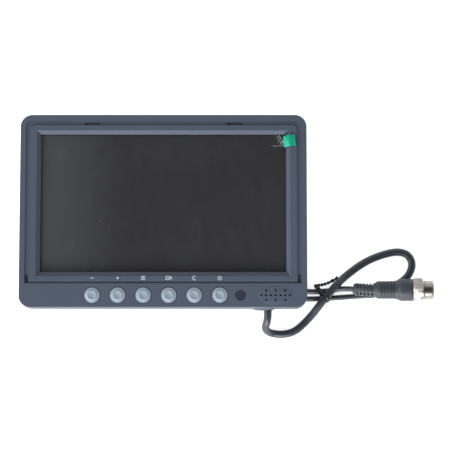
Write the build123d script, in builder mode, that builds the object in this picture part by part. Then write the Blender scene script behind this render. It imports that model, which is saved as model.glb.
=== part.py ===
from build123d import *

import os
from math import pi, radians, sqrt, tan

# Seven-inch vehicle rear-view monitor, lying on its back with the screen up, and its captive lead.
# Millimetres. +X is the monitor's right, +Y its top, +Z out of the screen. The origin is on the
# rear face, under the centre of the case.

os.makedirs("parts", exist_ok=True)

# ---- Case ----
case_width = 182.0
case_height = 123.0
case_depth = 26.0
corner_r = 7.5
edge_r = 0.6
wall = 1.8
face_t = 2.4
parting_drop = 11.0
rim_drop = 15.0
lip_h = 1.2
lip_t = 1.2
lip_gap = 0.15

# ---- Screen surround, from the case edge inwards ----
band_side = 3.6
band_top = 4.0
channel_side = 2.6
channel_top = 2.8
channel_depth = 0.8
channel_r = 3.8
channel_inner_r = 2.8
bezel_side = 4.3
bezel_top = 3.3
bezel_bottom = 3.5
bevel_side = 2.6
bevel_top = 2.2
bevel_bottom = 2.9
bevel_drop = 2.5
surround_drop = 4.0
surround_t = 1.8
strip_height = 15.3
groove_width = 1.0

# ---- Sunshade slots ----
top_slot_x = 45.3
top_slot_length = 9.6
side_slot_length = 5.7
side_slot_width = 2.2
top_slot_width = 1.7
slot_depth = 1.9

# ---- Keys ----
key_from_wall = 0.2
key_pitch = 16.1
key_count = 6
key_r = 4.9
key_gap = 0.4
key_flange_over = 0.45
key_flange_t = 1.0
key_flange_drop = 3.8
key_proud = 0.9
key_travel = 0.5
key_names = ["minus", "plus", "menu", "camera", "mode", "power"]
stem_r = 1.7
stem_gap = 0.15
stem_foot_drop = 7.0
switch_side = 6.0
switch_h = 3.0
key_board_t = 1.6
key_board_drop = 8.0
key_board_depth = 10.0
key_boss_r = 2.4
key_boss_from_key = 10.3
key_boss_from_window = 7.0
key_screw_r = 1.05
key_screw_head_r = 2.2
key_screw_tip_drop = 4.0
key_rim_r = 4.1
key_ridge_r = 2.65
key_dimple_r = 2.3
key_rim_drop = 0.6
key_dimple = 0.5
key_ridge_slope = 0.35
key_round = 0.1
key_rim_round = 0.2

# ---- Receiver window and loudspeaker, measured from the case's right edge ----
speaker_from_edge = 20.0
window_from_speaker = 22.1
last_key_from_window = 13.1
ir_window_r = 3.2
ir_window_gap = 0.05
ir_flange_over = 1.0
# The grille is a low dome, given as length, width and height of the ellipses it passes through.
grille_rings = [(22.6, 12.6, 0.0), (20.6, 10.8, 0.15), (16.4, 7.6, 0.35), (10.0, 4.0, 0.45)]
grille_hole_r = 0.65
grille_pitch = 3.0
speaker_length = 24.0
speaker_width = 10.8
speaker_h = 4.1
cloth_t = 0.3
magnet_r = 4.0
magnet_t = 2.0

# ---- Screen stack ----
glass_over_side = 4.6
glass_over_end = 6.0
gasket_t = 0.4
gasket_width = 3.2
gasket_inset = 0.6
glass_t = 1.2
tray_depth = 4.6
tray_t = 0.5
light_gap = 0.15
film_t = 0.1
film_gap = 0.4
tab_width = 8.1
tab_t = 0.25
tab_from_screen_top = 0.9
tab_over_bezel = 3.5
tab_root_in = 2.6
tab_glued = 0.9
tab_arch = 0.9
tab_tip_rise = 0.5

# ---- Rear hump, board and fixings ----
hump_side = 24.0
hump_top = 11.5
hump_bottom = 37.5
hump_r = 9.0
floor_t = 2.4
post_r = 2.7
post_top_drop = 8.6
post_from_side = 5.3
upper_post_from_top = 11.5
lower_post_from_bottom = 31.5
corner_post_from_side = 5.0
corner_post_from_bottom = 9.5
screw_r = 1.3
screw_gap = 0.05
screw_clearance = 0.3
screw_head_r = 2.5
screw_head_h = 1.5
screw_seat_over_rim = 1.8
screw_tip_drop = 4.0
board_t = 1.6
board_z = 6.6
board_margin = 6.8
board_screw_inset = 6.0
board_post_r = 3.0
insert_spacing_x = 38.1
insert_spacing_y = 30.2
insert_wall = 1.15
insert_bore_r = 1.65
insert_length = 5.0
insert_boss_wall = 1.4
insert_cap_t = 0.8
socket_h = 4.0
ribbon_t = 0.2
vent_count = 5
vent_from_insert = 24.0
vent_pitch = 5.0
vent_width = 1.8
vent_length = 13.0

# ---- Lead, its exit and its connector ----
exit_from_edge = 24.7
exit_drop = 10.5
pad_from_edge = 27.5
pad_up = 0.4
# The exit pad is a low swelling, given as width, height and how far each outline stands proud.
pad_rings = [(15.4, 8.8, 0.0), (13.6, 8.2, 0.5), (11.0, 7.4, 0.9), (8.6, 6.9, 1.1)]
pad_proud = pad_rings[-1][2]
gland_wall = 0.7
gland_gap = 0.1
gland_flange_width = 10.0
gland_flange_h = 4.4
gland_flange_t = 1.6
thick_d = 5.0
thin_d = 3.4
joint_wall = 0.6
connector_y = -49.25
connector_z = 12.3
body_x = 134.9
body_length = 15.0
body_r = 5.7
collar_length = 8.9
collar_r = 6.9
hex_length = 6.5
hex_flats = 14.5
barrel_length = 6.6
barrel_r = 6.0
barrel_bore_r = 4.9
relief_r = 4.05
relief_core_r = 3.1
relief_ribs = 6
rib_width = 1.3
insert_face_in = 1.0
contact_r = 0.8
contact_bore_r = 0.5
contact_circle_r = 2.4
contact_count = 4

# The lead's route. Points stay as chosen by hand; each run is one line of the list.
thick_route = [
    (66.3, -62.6, 15.5),
    (66.3, -68.4, 15.5),
    (64.2, -73.9, 8.6),
    (68.4, -76.3, 2.5),
    (76.2, -77.2, 2.5),
    (84.4, -75.1, 2.5),
    (93.4, -66.4, 2.5),
    (101.9, -55.6, 10.9),
    (109.4, -46.6, 10.9),
    (116.3, -39.5, 2.5),
    (130.2, -29.3, 2.5),
    (146.0, -23.8, 2.5),
    (154.4, -24.1, 2.5),
    (158.8, -28.1, 2.5),
    (159.6, -34.1, 2.5),
    (155.4, -41.8, 2.5),
    (148.9, -45.25, 2.5),
]
thin_route = [
    (141.412, -49.228, 1.7),
    (136.1, -52.05, 1.7),
    (126.0, -52.15, 1.7),
    (108.0, -53.65, 2.3),
    (93.0, -54.25, 1.7),
    (80.1, -54.05, 1.7),
    (61.7, -60.75, 1.7),
    (50.9, -56.35, 1.7),
    (45.7, -45.85, 1.7),
    (49.0, -34.65, 1.7),
    (58.9, -28.45, 1.7),
    (70.4, -30.45, 1.7),
    (79.5, -43.05, 1.7),
    (88.5, -49.05, 1.7),
    (98.0, -49.65, 2.3),
    (108.0, -48.55, 2.3),
    (115.09, -47.53, 4.97),
    (122.0, -48.45, 8.9),
]
tie_centre = (101.8, -51.55)
tie_reach = 7.6
tie_height = 14.2
tie_t = 0.3
tie_foot_z = 0.05
tail_side = 1.8
tail_z = 4.3
tie_width = 3.0
tie_heading = 41.4
tail_end = (110.0, -41.45)

# ---- Places worked out from the sizes above ----
half_w = case_width / 2
half_h = case_height / 2
rim_z = case_depth - rim_drop
parting_z = case_depth - parting_drop
bevel_foot_z = case_depth - bevel_drop
surround_foot_z = case_depth - surround_drop
post_top_z = case_depth - post_top_drop
screw_seat_z = rim_z + screw_seat_over_rim
screw_tip_z = case_depth - screw_tip_drop
screw_clear_r = screw_r + screw_clearance
exit_z = case_depth - exit_drop
gland_r = thick_d / 2 + gland_wall
joint_r = thick_d / 2 + joint_wall
strip_top = -half_h + strip_height
channel_x = half_w - band_side
channel_in_x = channel_x - channel_side
channel_y = half_h - band_top
channel_in_y = channel_y - channel_top
bezel_foot_y = strip_top + groove_width
bevel_x = channel_in_x - bezel_side
bevel_y1 = channel_in_y - bezel_top
bevel_y0 = bezel_foot_y + bezel_bottom
screen_x = bevel_x - bevel_side
screen_y1 = bevel_y1 - bevel_top
screen_y0 = bevel_y0 + bevel_bottom
top_slot_y = channel_in_y + top_slot_width / 2
side_slot_x = channel_x - channel_side / 2
side_slot_y = strip_top + side_slot_length / 2
face_under_z = case_depth - face_t
inner_x = half_w - wall
inner_y = half_h - wall
speaker_top_z = face_under_z - cloth_t

speaker_x = half_w - speaker_from_edge
window_x = speaker_x - window_from_speaker
last_key_x = window_x - last_key_from_window
first_key_x = last_key_x - key_pitch * (key_count - 1)
key_hole_r = key_r + key_gap
key_flange_r = key_hole_r + key_flange_over
key_y = -inner_y + key_flange_r + key_from_wall
key_points = [(first_key_x + key_pitch * i, key_y) for i in range(key_count)]
key_flange_z = case_depth - key_flange_drop
stem_foot_z = case_depth - stem_foot_drop
key_board_top_z = case_depth - key_board_drop
key_board_z = key_board_top_z - key_board_t
key_screw_tip_z = case_depth - key_screw_tip_drop
key_boss_points = [
    (first_key_x - key_boss_from_key, key_y),
    (window_x + key_boss_from_window, key_y),
]

glass_x = screen_x + glass_over_side
glass_y0 = screen_y0 - glass_over_end
glass_y1 = screen_y1 + glass_over_end
glass_top_z = surround_foot_z - gasket_t
glass_z = glass_top_z - glass_t
tray_floor_z = glass_z - tray_depth

hump_x = half_w - hump_side
hump_y0 = -half_h + hump_bottom
hump_y1 = half_h - hump_top
hump_y = (hump_y0 + hump_y1) / 2
hump_w = 2 * hump_x
hump_h = hump_y1 - hump_y0
post_points = [
    (side * x, y)
    for side in (-1, 1)
    for x, y in [
        (half_w - post_from_side, half_h - upper_post_from_top),
        (half_w - post_from_side, -half_h + lower_post_from_bottom),
        (half_w - corner_post_from_side, -half_h + corner_post_from_bottom),
    ]
]
board_w = hump_w - 2 * wall - 2 * board_margin
board_h = hump_h - 2 * wall - 2 * (board_margin - 2.0)
board_top_z = board_z + board_t
board_screw_spacing = (board_w - 2 * board_screw_inset, board_h - 2 * board_screw_inset)
socket_z = board_top_z + socket_h
insert_r = insert_bore_r + insert_wall
insert_boss_r = insert_r + insert_boss_wall
insert_boss_z = insert_length + insert_cap_t
exit_x = half_w - exit_from_edge
pad_x = half_w - pad_from_edge
wire_z = rim_z + wall + 1.3


def spanned(x0, x1, y0, y1):
    """A rectangle between two corners, in the open sketch."""
    with Locations(((x0 + x1) / 2, (y0 + y1) / 2)):
        Rectangle(x1 - x0, y1 - y0)


def discs(points, radius, z, height, mode=Mode.ADD):
    """The same upright cylinder at each point, in the open part."""
    with BuildSketch(Plane.XY.offset(z)) as circles:
        with Locations(*points):
            Circle(radius)
    extrude(circles.sketch, amount=height, mode=mode)


def block(xs, ys, zs, mode=Mode.ADD):
    """A box between two corners, in the open part."""
    with BuildSketch(Plane.XY.offset(zs[0])) as foot:
        spanned(*xs, *ys)
    extrude(foot.sketch, amount=zs[1] - zs[0], mode=mode)


def bend_radii(points):
    """For each corner of a route, the largest arc that both its runs leave room for."""
    corners = [Vector(*p) for p in points]
    radii = []
    for before, at, after in zip(corners, corners[1:], corners[2:]):
        turn = (at - before).get_angle(after - at)
        shorter = min((at - before).length, (after - at).length)
        radii.append(0.45 * shorter / tan(radians(turn / 2)))
    return radii


# ---- Exit pad: a low swelling of the case wall round the lead ----
with BuildPart() as exit_pad:
    for ring_width, ring_height, proud in pad_rings:
        with BuildSketch(Plane.XZ.offset(half_h + proud)):
            with Locations((pad_x, exit_z + pad_up)):
                RectangleRounded(ring_width, ring_height, ring_height * 0.45)
    loft(ruled=True)

# ---- Front frame ----
with BuildPart() as front_frame:
    with BuildSketch(Plane.XY.offset(parting_z)):
        RectangleRounded(case_width, case_height, corner_r)
    extrude(amount=case_depth - parting_z)
    fillet(front_frame.faces().sort_by(Axis.Z)[-1].edges(), edge_r)
    add(exit_pad.part)
    split(bisect_by=Plane.XY.offset(parting_z), keep=Keep.TOP)
    with BuildSketch(Plane.XY.offset(parting_z)):
        RectangleRounded(2 * inner_x, 2 * inner_y, corner_r - wall)
    extrude(amount=face_under_z - parting_z, mode=Mode.SUBTRACT)
    with BuildSketch(Plane.XY.offset(surround_foot_z)):
        spanned(
            -bevel_x - surround_t,
            bevel_x + surround_t,
            bevel_y0 - surround_t,
            bevel_y1 + surround_t,
        )
    extrude(amount=face_under_z - surround_foot_z)
    discs(post_points, post_r, post_top_z, face_under_z - post_top_z)
    discs(key_boss_points, key_boss_r, key_board_top_z, face_under_z - key_board_top_z)
    with BuildSketch(Plane.XY.offset(case_depth)):
        spanned(-bevel_x, bevel_x, bevel_y0, bevel_y1)
    with BuildSketch(Plane.XY.offset(bevel_foot_z)):
        spanned(-screen_x, screen_x, screen_y0, screen_y1)
    loft(mode=Mode.SUBTRACT)
    with BuildSketch(Plane.XY.offset(surround_foot_z)):
        spanned(-screen_x, screen_x, screen_y0, screen_y1)
    extrude(amount=bevel_foot_z - surround_foot_z, mode=Mode.SUBTRACT)
    with BuildSketch(Plane.XY.offset(case_depth)) as channel:
        spanned(-channel_x, channel_x, strip_top, channel_y)
        fillet(channel.vertices().group_by(Axis.Y)[-1], channel_r)
        with BuildSketch(mode=Mode.SUBTRACT) as bezel:
            spanned(-channel_in_x, channel_in_x, bezel_foot_y, channel_in_y)
            fillet(bezel.vertices().group_by(Axis.Y)[-1], channel_inner_r)
    extrude(amount=-channel_depth, mode=Mode.SUBTRACT)
    with BuildSketch(Plane.XY.offset(case_depth - slot_depth)):
        with Locations(*[(side * top_slot_x, top_slot_y) for side in (-1, 1)]):
            Rectangle(top_slot_length, top_slot_width)
        with Locations(*[(side * side_slot_x, side_slot_y) for side in (-1, 1)]):
            Rectangle(side_slot_width, side_slot_length)
    extrude(amount=slot_depth, mode=Mode.SUBTRACT)
    for ring_length, ring_width, ring_rise in grille_rings:
        with BuildSketch(Plane.XY.offset(case_depth + ring_rise)):
            with Locations((speaker_x, key_y)):
                Ellipse(ring_length / 2, ring_width / 2)
    loft(ruled=True)
    middle_row = [(speaker_x + grille_pitch * i, key_y) for i in range(-3, 4)]
    outer_rows = [
        (speaker_x + 2 * grille_pitch * i, key_y + grille_pitch * side)
        for side in (-1, 1)
        for i in (-1, 0, 1)
    ]
    discs(middle_row + outer_rows, grille_hole_r, face_under_z, face_t + ring_rise, Mode.SUBTRACT)
    discs(key_points, key_hole_r, face_under_z, face_t, Mode.SUBTRACT)
    discs([(window_x, key_y)], ir_window_r + ir_window_gap, face_under_z, face_t, Mode.SUBTRACT)
    discs(post_points, screw_r + screw_gap, post_top_z, screw_tip_z + 0.3 - post_top_z, Mode.SUBTRACT)
    pilot_depth = key_screw_tip_z + 0.3 - key_board_top_z
    discs(key_boss_points, key_screw_r + screw_gap, key_board_top_z, pilot_depth, Mode.SUBTRACT)
    with BuildSketch(Plane.XZ.offset(inner_y)):
        with Locations((exit_x, exit_z)):
            Circle(gland_r + gland_gap)
    extrude(amount=wall + pad_proud, mode=Mode.SUBTRACT)

front_frame.part.label = "front_frame"
export_step(front_frame.part, "parts/front_frame.step")

# ---- Rear cover: rim, hump, posts, vents and the lip that locates the front frame ----
with BuildPart() as rear_cover:
    with BuildSketch(Plane.XY.offset(rim_z)):
        RectangleRounded(case_width, case_height, corner_r)
    extrude(amount=parting_z - rim_z)
    chamfer(rear_cover.faces().sort_by(Axis.Z)[0].edges(), 1.0)
    add(exit_pad.part)
    split(bisect_by=Plane.XY.offset(parting_z), keep=Keep.BOTTOM)
    with BuildSketch(Plane.XY.offset(0)):
        with Locations((0, hump_y)):
            RectangleRounded(hump_w, hump_h, hump_r)
    extrude(amount=rim_z + wall)
    hump_foot = rear_cover.faces().sort_by(Axis.Z)[0].edges()
    fillet(hump_foot, 2.0)
    with BuildSketch(Plane.XY.offset(rim_z + wall)):
        RectangleRounded(2 * inner_x, 2 * inner_y, corner_r - wall)
    extrude(amount=parting_z - rim_z - wall, mode=Mode.SUBTRACT)
    with BuildSketch(Plane.XY.offset(floor_t)):
        with Locations((0, hump_y)):
            RectangleRounded(hump_w - 2 * wall, hump_h - 2 * wall, hump_r - wall)
    extrude(amount=rim_z + wall - floor_t, mode=Mode.SUBTRACT)
    with BuildSketch(Plane.XY.offset(parting_z)):
        RectangleRounded(2 * (inner_x - lip_gap), 2 * (inner_y - lip_gap), corner_r - wall - lip_gap)
        offset(amount=-lip_t, mode=Mode.SUBTRACT)
    extrude(amount=lip_h)
    with BuildSketch(Plane.XY.offset(rim_z + wall)):
        RectangleRounded(2 * inner_x, 2 * inner_y, corner_r - wall)
        offset(amount=-lip_gap - lip_t, mode=Mode.SUBTRACT)
    extrude(amount=parting_z - rim_z - wall)
    discs(post_points, post_r, rim_z + wall, post_top_z - rim_z - wall)
    with BuildSketch(Plane.XY.offset(rim_z + wall)):
        for side in (-1, 1):
            with Locations((side * (glass_x - 2.8), hump_y)):
                Rectangle(3.5, hump_h * 0.6)
    extrude(amount=tray_floor_z - rim_z - wall)
    with BuildSketch(Plane.XY.offset(floor_t)):
        with Locations((0, hump_y)):
            with GridLocations(*board_screw_spacing, 2, 2):
                Circle(board_post_r)
    extrude(amount=board_z - floor_t)
    with BuildSketch(Plane.XY.offset(floor_t)):
        with Locations((0, hump_y)):
            with GridLocations(insert_spacing_x, insert_spacing_y, 2, 2):
                Circle(insert_boss_r)
    extrude(amount=insert_boss_z - floor_t)
    with BuildSketch(Plane.XY.offset(floor_t + 0.6)):
        with Locations((0, hump_y)):
            with GridLocations(*board_screw_spacing, 2, 2):
                Circle(screw_r + screw_gap)
    extrude(amount=board_z - floor_t - 0.6, mode=Mode.SUBTRACT)
    with BuildSketch(Plane.XY):
        with Locations((0, hump_y)):
            with GridLocations(insert_spacing_x, insert_spacing_y, 2, 2):
                Circle(insert_r)
    extrude(amount=insert_length, mode=Mode.SUBTRACT)
    discs(post_points, screw_head_r + 0.4, rim_z, screw_seat_z - rim_z, Mode.SUBTRACT)
    discs(post_points, screw_clear_r, rim_z, post_top_z - rim_z, Mode.SUBTRACT)
    with BuildSketch(Plane.XY):
        with Locations((0, hump_y1 - 6.0 - vent_length / 2)):
            for side in (-1, 1):
                with Locations((side * (insert_spacing_x / 2 + vent_from_insert), 0)):
                    with GridLocations(vent_pitch, 1, vent_count, 1):
                        SlotOverall(vent_length, vent_width, rotation=90)
    extrude(amount=floor_t, mode=Mode.SUBTRACT)
    with BuildSketch(Plane.XZ.offset(inner_y - lip_gap - lip_t)):
        spanned(
            exit_x - gland_flange_width / 2 - 0.5,
            exit_x + gland_flange_width / 2 + 0.5,
            rim_z + wall,
            parting_z + lip_h,
        )
    extrude(amount=lip_gap + lip_t, mode=Mode.SUBTRACT)
    with BuildSketch(Plane.XZ.offset(inner_y)):
        with Locations((exit_x, exit_z)):
            Circle(gland_r + gland_gap)
    extrude(amount=wall + pad_proud, mode=Mode.SUBTRACT)

rear_cover.part.label = "rear_cover"
export_step(rear_cover.part, "parts/rear_cover.step")

# ---- Rear fixings ----
with BuildPart() as mount_inserts:
    with BuildSketch(Plane.XY):
        with Locations((0, hump_y)):
            with GridLocations(insert_spacing_x, insert_spacing_y, 2, 2):
                Circle(insert_r)
                Circle(insert_bore_r, mode=Mode.SUBTRACT)
    extrude(amount=insert_length)

mount_inserts.part.label = "mount_inserts"
export_step(mount_inserts.part, "parts/mount_inserts.step")

with BuildPart() as case_screws:
    discs(post_points, screw_head_r, screw_seat_z - screw_head_h, screw_head_h)
    discs(post_points, screw_r, screw_seat_z, screw_tip_z - screw_seat_z)

case_screws.part.label = "case_screws"
export_step(case_screws.part, "parts/case_screws.step")

# ---- Screen stack ----
with BuildPart() as lcd_glass:
    block((-glass_x, glass_x), (glass_y0, glass_y1), (glass_z, glass_top_z))

lcd_glass.part.label = "lcd_glass"
export_step(lcd_glass.part, "parts/lcd_glass.step")

with BuildPart() as lcd_frame:
    block((-glass_x, glass_x), (glass_y0, glass_y1), (tray_floor_z, glass_z))
    block(
        (-glass_x + tray_t, glass_x - tray_t),
        (glass_y0 + tray_t, glass_y1 - tray_t),
        (tray_floor_z + tray_t, glass_z),
        Mode.SUBTRACT,
    )

lcd_frame.part.label = "lcd_frame"
export_step(lcd_frame.part, "parts/lcd_frame.step")

light_in = tray_t + light_gap
with BuildPart() as backlight_unit:
    block(
        (-glass_x + light_in, glass_x - light_in),
        (glass_y0 + light_in, glass_y1 - light_in),
        (tray_floor_z + tray_t, glass_z),
    )
    fillet(backlight_unit.edges().filter_by(Axis.Z), 1.0)

backlight_unit.part.label = "backlight_unit"
export_step(backlight_unit.part, "parts/backlight_unit.step")

with BuildPart() as screen_gasket:
    with BuildSketch(Plane.XY.offset(glass_top_z)):
        ring = gasket_inset + gasket_width
        spanned(-screen_x - ring, screen_x + ring, screen_y0 - ring, screen_y1 + ring)
        with BuildSketch(mode=Mode.SUBTRACT):
            ring = gasket_inset
            spanned(-screen_x - ring, screen_x + ring, screen_y0 - ring, screen_y1 + ring)
    extrude(amount=gasket_t)

screen_gasket.part.label = "screen_gasket"
export_step(screen_gasket.part, "parts/screen_gasket.step")

with BuildPart() as protective_film:
    block(
        (-screen_x + film_gap, screen_x - film_gap),
        (screen_y0 + film_gap, screen_y1 - film_gap),
        (glass_top_z, glass_top_z + film_t),
    )

protective_film.part.label = "protective_film"
export_step(protective_film.part, "parts/protective_film.step")

film_top_z = glass_top_z + film_t
tab_y1 = screen_y1 - tab_from_screen_top
with BuildPart() as film_pull_tab:
    with BuildSketch(Plane.XZ.offset(-tab_y1)):
        with BuildLine() as tab_line:
            Polyline(
                (screen_x - tab_root_in, film_top_z + tab_t / 2),
                (screen_x - tab_root_in + tab_glued, film_top_z + tab_t / 2),
                (bevel_x - tab_tip_rise, case_depth + tab_arch),
                (bevel_x + tab_over_bezel, case_depth + tab_tip_rise),
            )
        trace(line_width=tab_t)
    extrude(amount=tab_width)

film_pull_tab.part.label = "film_pull_tab"
export_step(film_pull_tab.part, "parts/film_pull_tab.step")


# ---- Keys: a dished cap on a switch stem; the two move as one ----
def key_cap(x, y):
    """A key cap: flat rim, slope up to a ridge, dished middle, and a flange under the case face."""
    top = case_depth + key_proud
    rim = top - key_rim_drop
    foot = key_flange_z
    dish = key_dimple - key_round
    dish_r = (key_dimple_r**2 + dish**2) / (2 * dish)
    dish_centre = top - key_dimple + dish_r
    ridge_out = (key_ridge_r + key_ridge_slope, top - key_round)
    ridge_in = (key_dimple_r, top - key_round)
    with BuildPart() as cap:
        with BuildSketch(Plane(origin=(x, y, 0), x_dir=(1, 0, 0), z_dir=(0, -1, 0))):
            with BuildLine():
                Polyline(
                    (0, top - key_dimple),
                    (0, foot),
                    (key_flange_r, foot),
                    (key_flange_r, foot + key_flange_t),
                    (key_r, foot + key_flange_t),
                    (key_r, rim - key_rim_round),
                    (key_r - key_rim_round, rim),
                    (key_rim_r, rim),
                    ridge_out,
                )
                ThreePointArc(ridge_out, (key_ridge_r, top), ridge_in)
                ThreePointArc(
                    ridge_in,
                    (key_dimple_r / 2, dish_centre - sqrt(dish_r**2 - key_dimple_r**2 / 4)),
                    (0, top - key_dimple),
                )
            make_face()
        revolve(axis=Axis((x, y, 0), (0, 0, 1)))
    return cap


for key_name, (key_x, _) in zip(key_names, key_points):
    button = key_cap(key_x, key_y)
    button.part.label = f"{key_name}_button"
    export_step(button.part, f"parts/{key_name}_button.step")
    with BuildPart() as stem:
        discs([(key_x, key_y)], stem_r, stem_foot_z, key_flange_z - stem_foot_z)
    stem.part.label = f"{key_name}_stem"
    export_step(stem.part, f"parts/{key_name}_stem.step")

with BuildPart() as switch_bodies:
    with BuildSketch(Plane.XY.offset(key_board_top_z)):
        with Locations(*key_points):
            Rectangle(switch_side, switch_side)
    extrude(amount=switch_h)
    well_z = stem_foot_z - key_travel - 0.2
    well_depth = key_board_top_z + switch_h - well_z
    discs(key_points, stem_r + stem_gap, well_z, well_depth, Mode.SUBTRACT)

switch_bodies.part.label = "switch_bodies"
export_step(switch_bodies.part, "parts/switch_bodies.step")

board_x0 = key_boss_points[0][0] - key_boss_r - 0.2
board_x1 = key_boss_points[1][0] + key_boss_r + 0.2
with BuildPart() as key_board:
    block(
        (board_x0, board_x1),
        (key_y - key_board_depth / 2, key_y + key_board_depth / 2),
        (key_board_z, key_board_top_z),
    )
    discs(key_boss_points, key_screw_r + 0.15, key_board_z, key_board_t, Mode.SUBTRACT)

key_board.part.label = "key_board"
export_step(key_board.part, "parts/key_board.step")

with BuildPart() as key_board_screws:
    discs(key_boss_points, key_screw_head_r, key_board_z - screw_head_h, screw_head_h)
    discs(key_boss_points, key_screw_r, key_board_z, key_screw_tip_z - key_board_z)

key_board_screws.part.label = "key_board_screws"
export_step(key_board_screws.part, "parts/key_board_screws.step")

# ---- Remote-control receiver ----
ir_flange_t = 0.7
with BuildPart() as ir_window:
    discs([(window_x, key_y)], ir_window_r + ir_flange_over, face_under_z - ir_flange_t, ir_flange_t)
    discs([(window_x, key_y)], ir_window_r, face_under_z, face_t - 0.3)
    chamfer(ir_window.faces().sort_by(Axis.Z)[-1].edges(), 0.35)

ir_window.part.label = "ir_window"
export_step(ir_window.part, "parts/ir_window.step")

receiver_w = 5.6
receiver_d = 4.6
receiver_h = 3.0
lens_z = key_board_top_z + receiver_h
lens_r = 1.8
with BuildPart() as ir_receiver:
    block(
        (window_x - receiver_w / 2, window_x + receiver_w / 2),
        (key_y - receiver_d / 2, key_y + receiver_d / 2),
        (key_board_top_z, lens_z),
    )
    with BuildSketch(Plane(origin=(window_x, key_y, 0), x_dir=(1, 0, 0), z_dir=(0, -1, 0))):
        with BuildLine():
            Polyline((0, lens_z + lens_r), (0, lens_z), (lens_r, lens_z))
            CenterArc((0, lens_z), lens_r, 0, 90)
        make_face()
    revolve(axis=Axis((window_x, key_y, 0), (0, 0, 1)))

ir_receiver.part.label = "ir_receiver"
export_step(ir_receiver.part, "parts/ir_receiver.step")

# ---- Loudspeaker under the grille ----
cone_seat_z = speaker_top_z - 0.9
cone_seat_r = 4.6
cone_r = 3.8
with BuildPart() as speaker_cloth:
    with BuildSketch(Plane.XY.offset(speaker_top_z)):
        with Locations((speaker_x, key_y)):
            SlotOverall(speaker_length - 1.0, speaker_width - 1.0)
    extrude(amount=cloth_t)

speaker_cloth.part.label = "speaker_cloth"
export_step(speaker_cloth.part, "parts/speaker_cloth.step")

with BuildPart() as speaker_frame:
    with BuildSketch(Plane.XY.offset(speaker_top_z - speaker_h)):
        with Locations((speaker_x, key_y)):
            SlotOverall(speaker_length, speaker_width)
    extrude(amount=speaker_h)
    discs([(speaker_x, key_y)], cone_r, speaker_top_z - speaker_h + 0.8, speaker_h, Mode.SUBTRACT)
    discs([(speaker_x, key_y)], cone_seat_r, cone_seat_z, 1.0, Mode.SUBTRACT)

speaker_frame.part.label = "speaker_frame"
export_step(speaker_frame.part, "parts/speaker_frame.step")

with BuildPart() as speaker_cone:
    with BuildSketch(Plane(origin=(speaker_x, key_y, 0), x_dir=(1, 0, 0), z_dir=(0, -1, 0))):
        with BuildLine():
            Polyline(
                (0, cone_seat_z - 1.9),
                (1.9, cone_seat_z - 1.9),
                (cone_r - 0.3, cone_seat_z),
                (cone_seat_r - 0.1, cone_seat_z),
                (cone_seat_r - 0.1, cone_seat_z + 0.3),
                (cone_r - 0.5, cone_seat_z + 0.3),
                (1.7, cone_seat_z - 1.5),
                (0, cone_seat_z - 1.1),
                close=True,
            )
        make_face()
    revolve(axis=Axis((speaker_x, key_y, 0), (0, 0, 1)))

speaker_cone.part.label = "speaker_cone"
export_step(speaker_cone.part, "parts/speaker_cone.step")

with BuildPart() as speaker_magnet:
    discs([(speaker_x, key_y)], magnet_r, speaker_top_z - speaker_h - magnet_t, magnet_t)
    chamfer(speaker_magnet.faces().sort_by(Axis.Z)[0].edges(), 0.4)

speaker_magnet.part.label = "speaker_magnet"
export_step(speaker_magnet.part, "parts/speaker_magnet.step")

# ---- Main board ----
board_x = board_w / 2
board_y0 = hump_y - board_h / 2
with BuildPart() as main_board:
    block((-board_x, board_x), (board_y0, board_y0 + board_h), (board_z, board_top_z))
    with BuildSketch(Plane.XY.offset(board_z)):
        with Locations((0, hump_y)):
            with GridLocations(*board_screw_spacing, 2, 2):
                Circle(screw_clear_r)
    extrude(amount=board_t, mode=Mode.SUBTRACT)

main_board.part.label = "main_board"
export_step(main_board.part, "parts/main_board.step")

with BuildPart() as board_screws:
    with BuildSketch(Plane.XY.offset(board_top_z)):
        with Locations((0, hump_y)):
            with GridLocations(*board_screw_spacing, 2, 2):
                Circle(screw_head_r - 0.1)
    extrude(amount=screw_head_h)
    with BuildSketch(Plane.XY.offset(floor_t + 1.0)):
        with Locations((0, hump_y)):
            with GridLocations(*board_screw_spacing, 2, 2):
                Circle(screw_r)
    extrude(amount=board_top_z - floor_t - 1.0)

board_screws.part.label = "board_screws"
export_step(board_screws.part, "parts/board_screws.step")

with BuildPart() as board_chips:
    for chip_x, chip_y, chip_side, chip_h in [(-10, 14, 14, 1.4), (14, 14, 9, 1.2), (-32, 12, 8, 4.2)]:
        block(
            (chip_x - chip_side / 2, chip_x + chip_side / 2),
            (hump_y + chip_y - chip_side / 2, hump_y + chip_y + chip_side / 2),
            (board_top_z, board_top_z + chip_h),
        )
    discs([(-30, hump_y), (-20, hump_y)], 3.5, board_top_z, 6.2)

board_chips.part.label = "board_chips"
export_step(board_chips.part, "parts/board_chips.step")

ribbon_x = 16.0
ribbon_width = 28.0
ribbon_socket_y = board_y0 + 19.0
key_cable_x = -20.0
key_cable_width = 8.0
low_socket_y = board_y0 + 6.0
lead_socket_x = board_x - 16.0
speaker_socket_x = board_x - 5.0
speaker_socket_y = hump_y + 2.0
with BuildPart() as board_sockets:
    for socket_x, socket_y, socket_w, socket_d in [
        (ribbon_x, ribbon_socket_y, ribbon_width + 4.0, 6.0),
        (key_cable_x, low_socket_y, key_cable_width + 2.0, 6.0),
        (lead_socket_x, low_socket_y, 12.0, 6.0),
        (speaker_socket_x + 0.8, speaker_socket_y + 0.8, 6.0, 5.0),
    ]:
        block(
            (socket_x - socket_w / 2, socket_x + socket_w / 2),
            (socket_y - socket_d / 2, socket_y + socket_d / 2),
            (board_top_z, socket_z),
        )

board_sockets.part.label = "board_sockets"
export_step(board_sockets.part, "parts/board_sockets.step")

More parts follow.
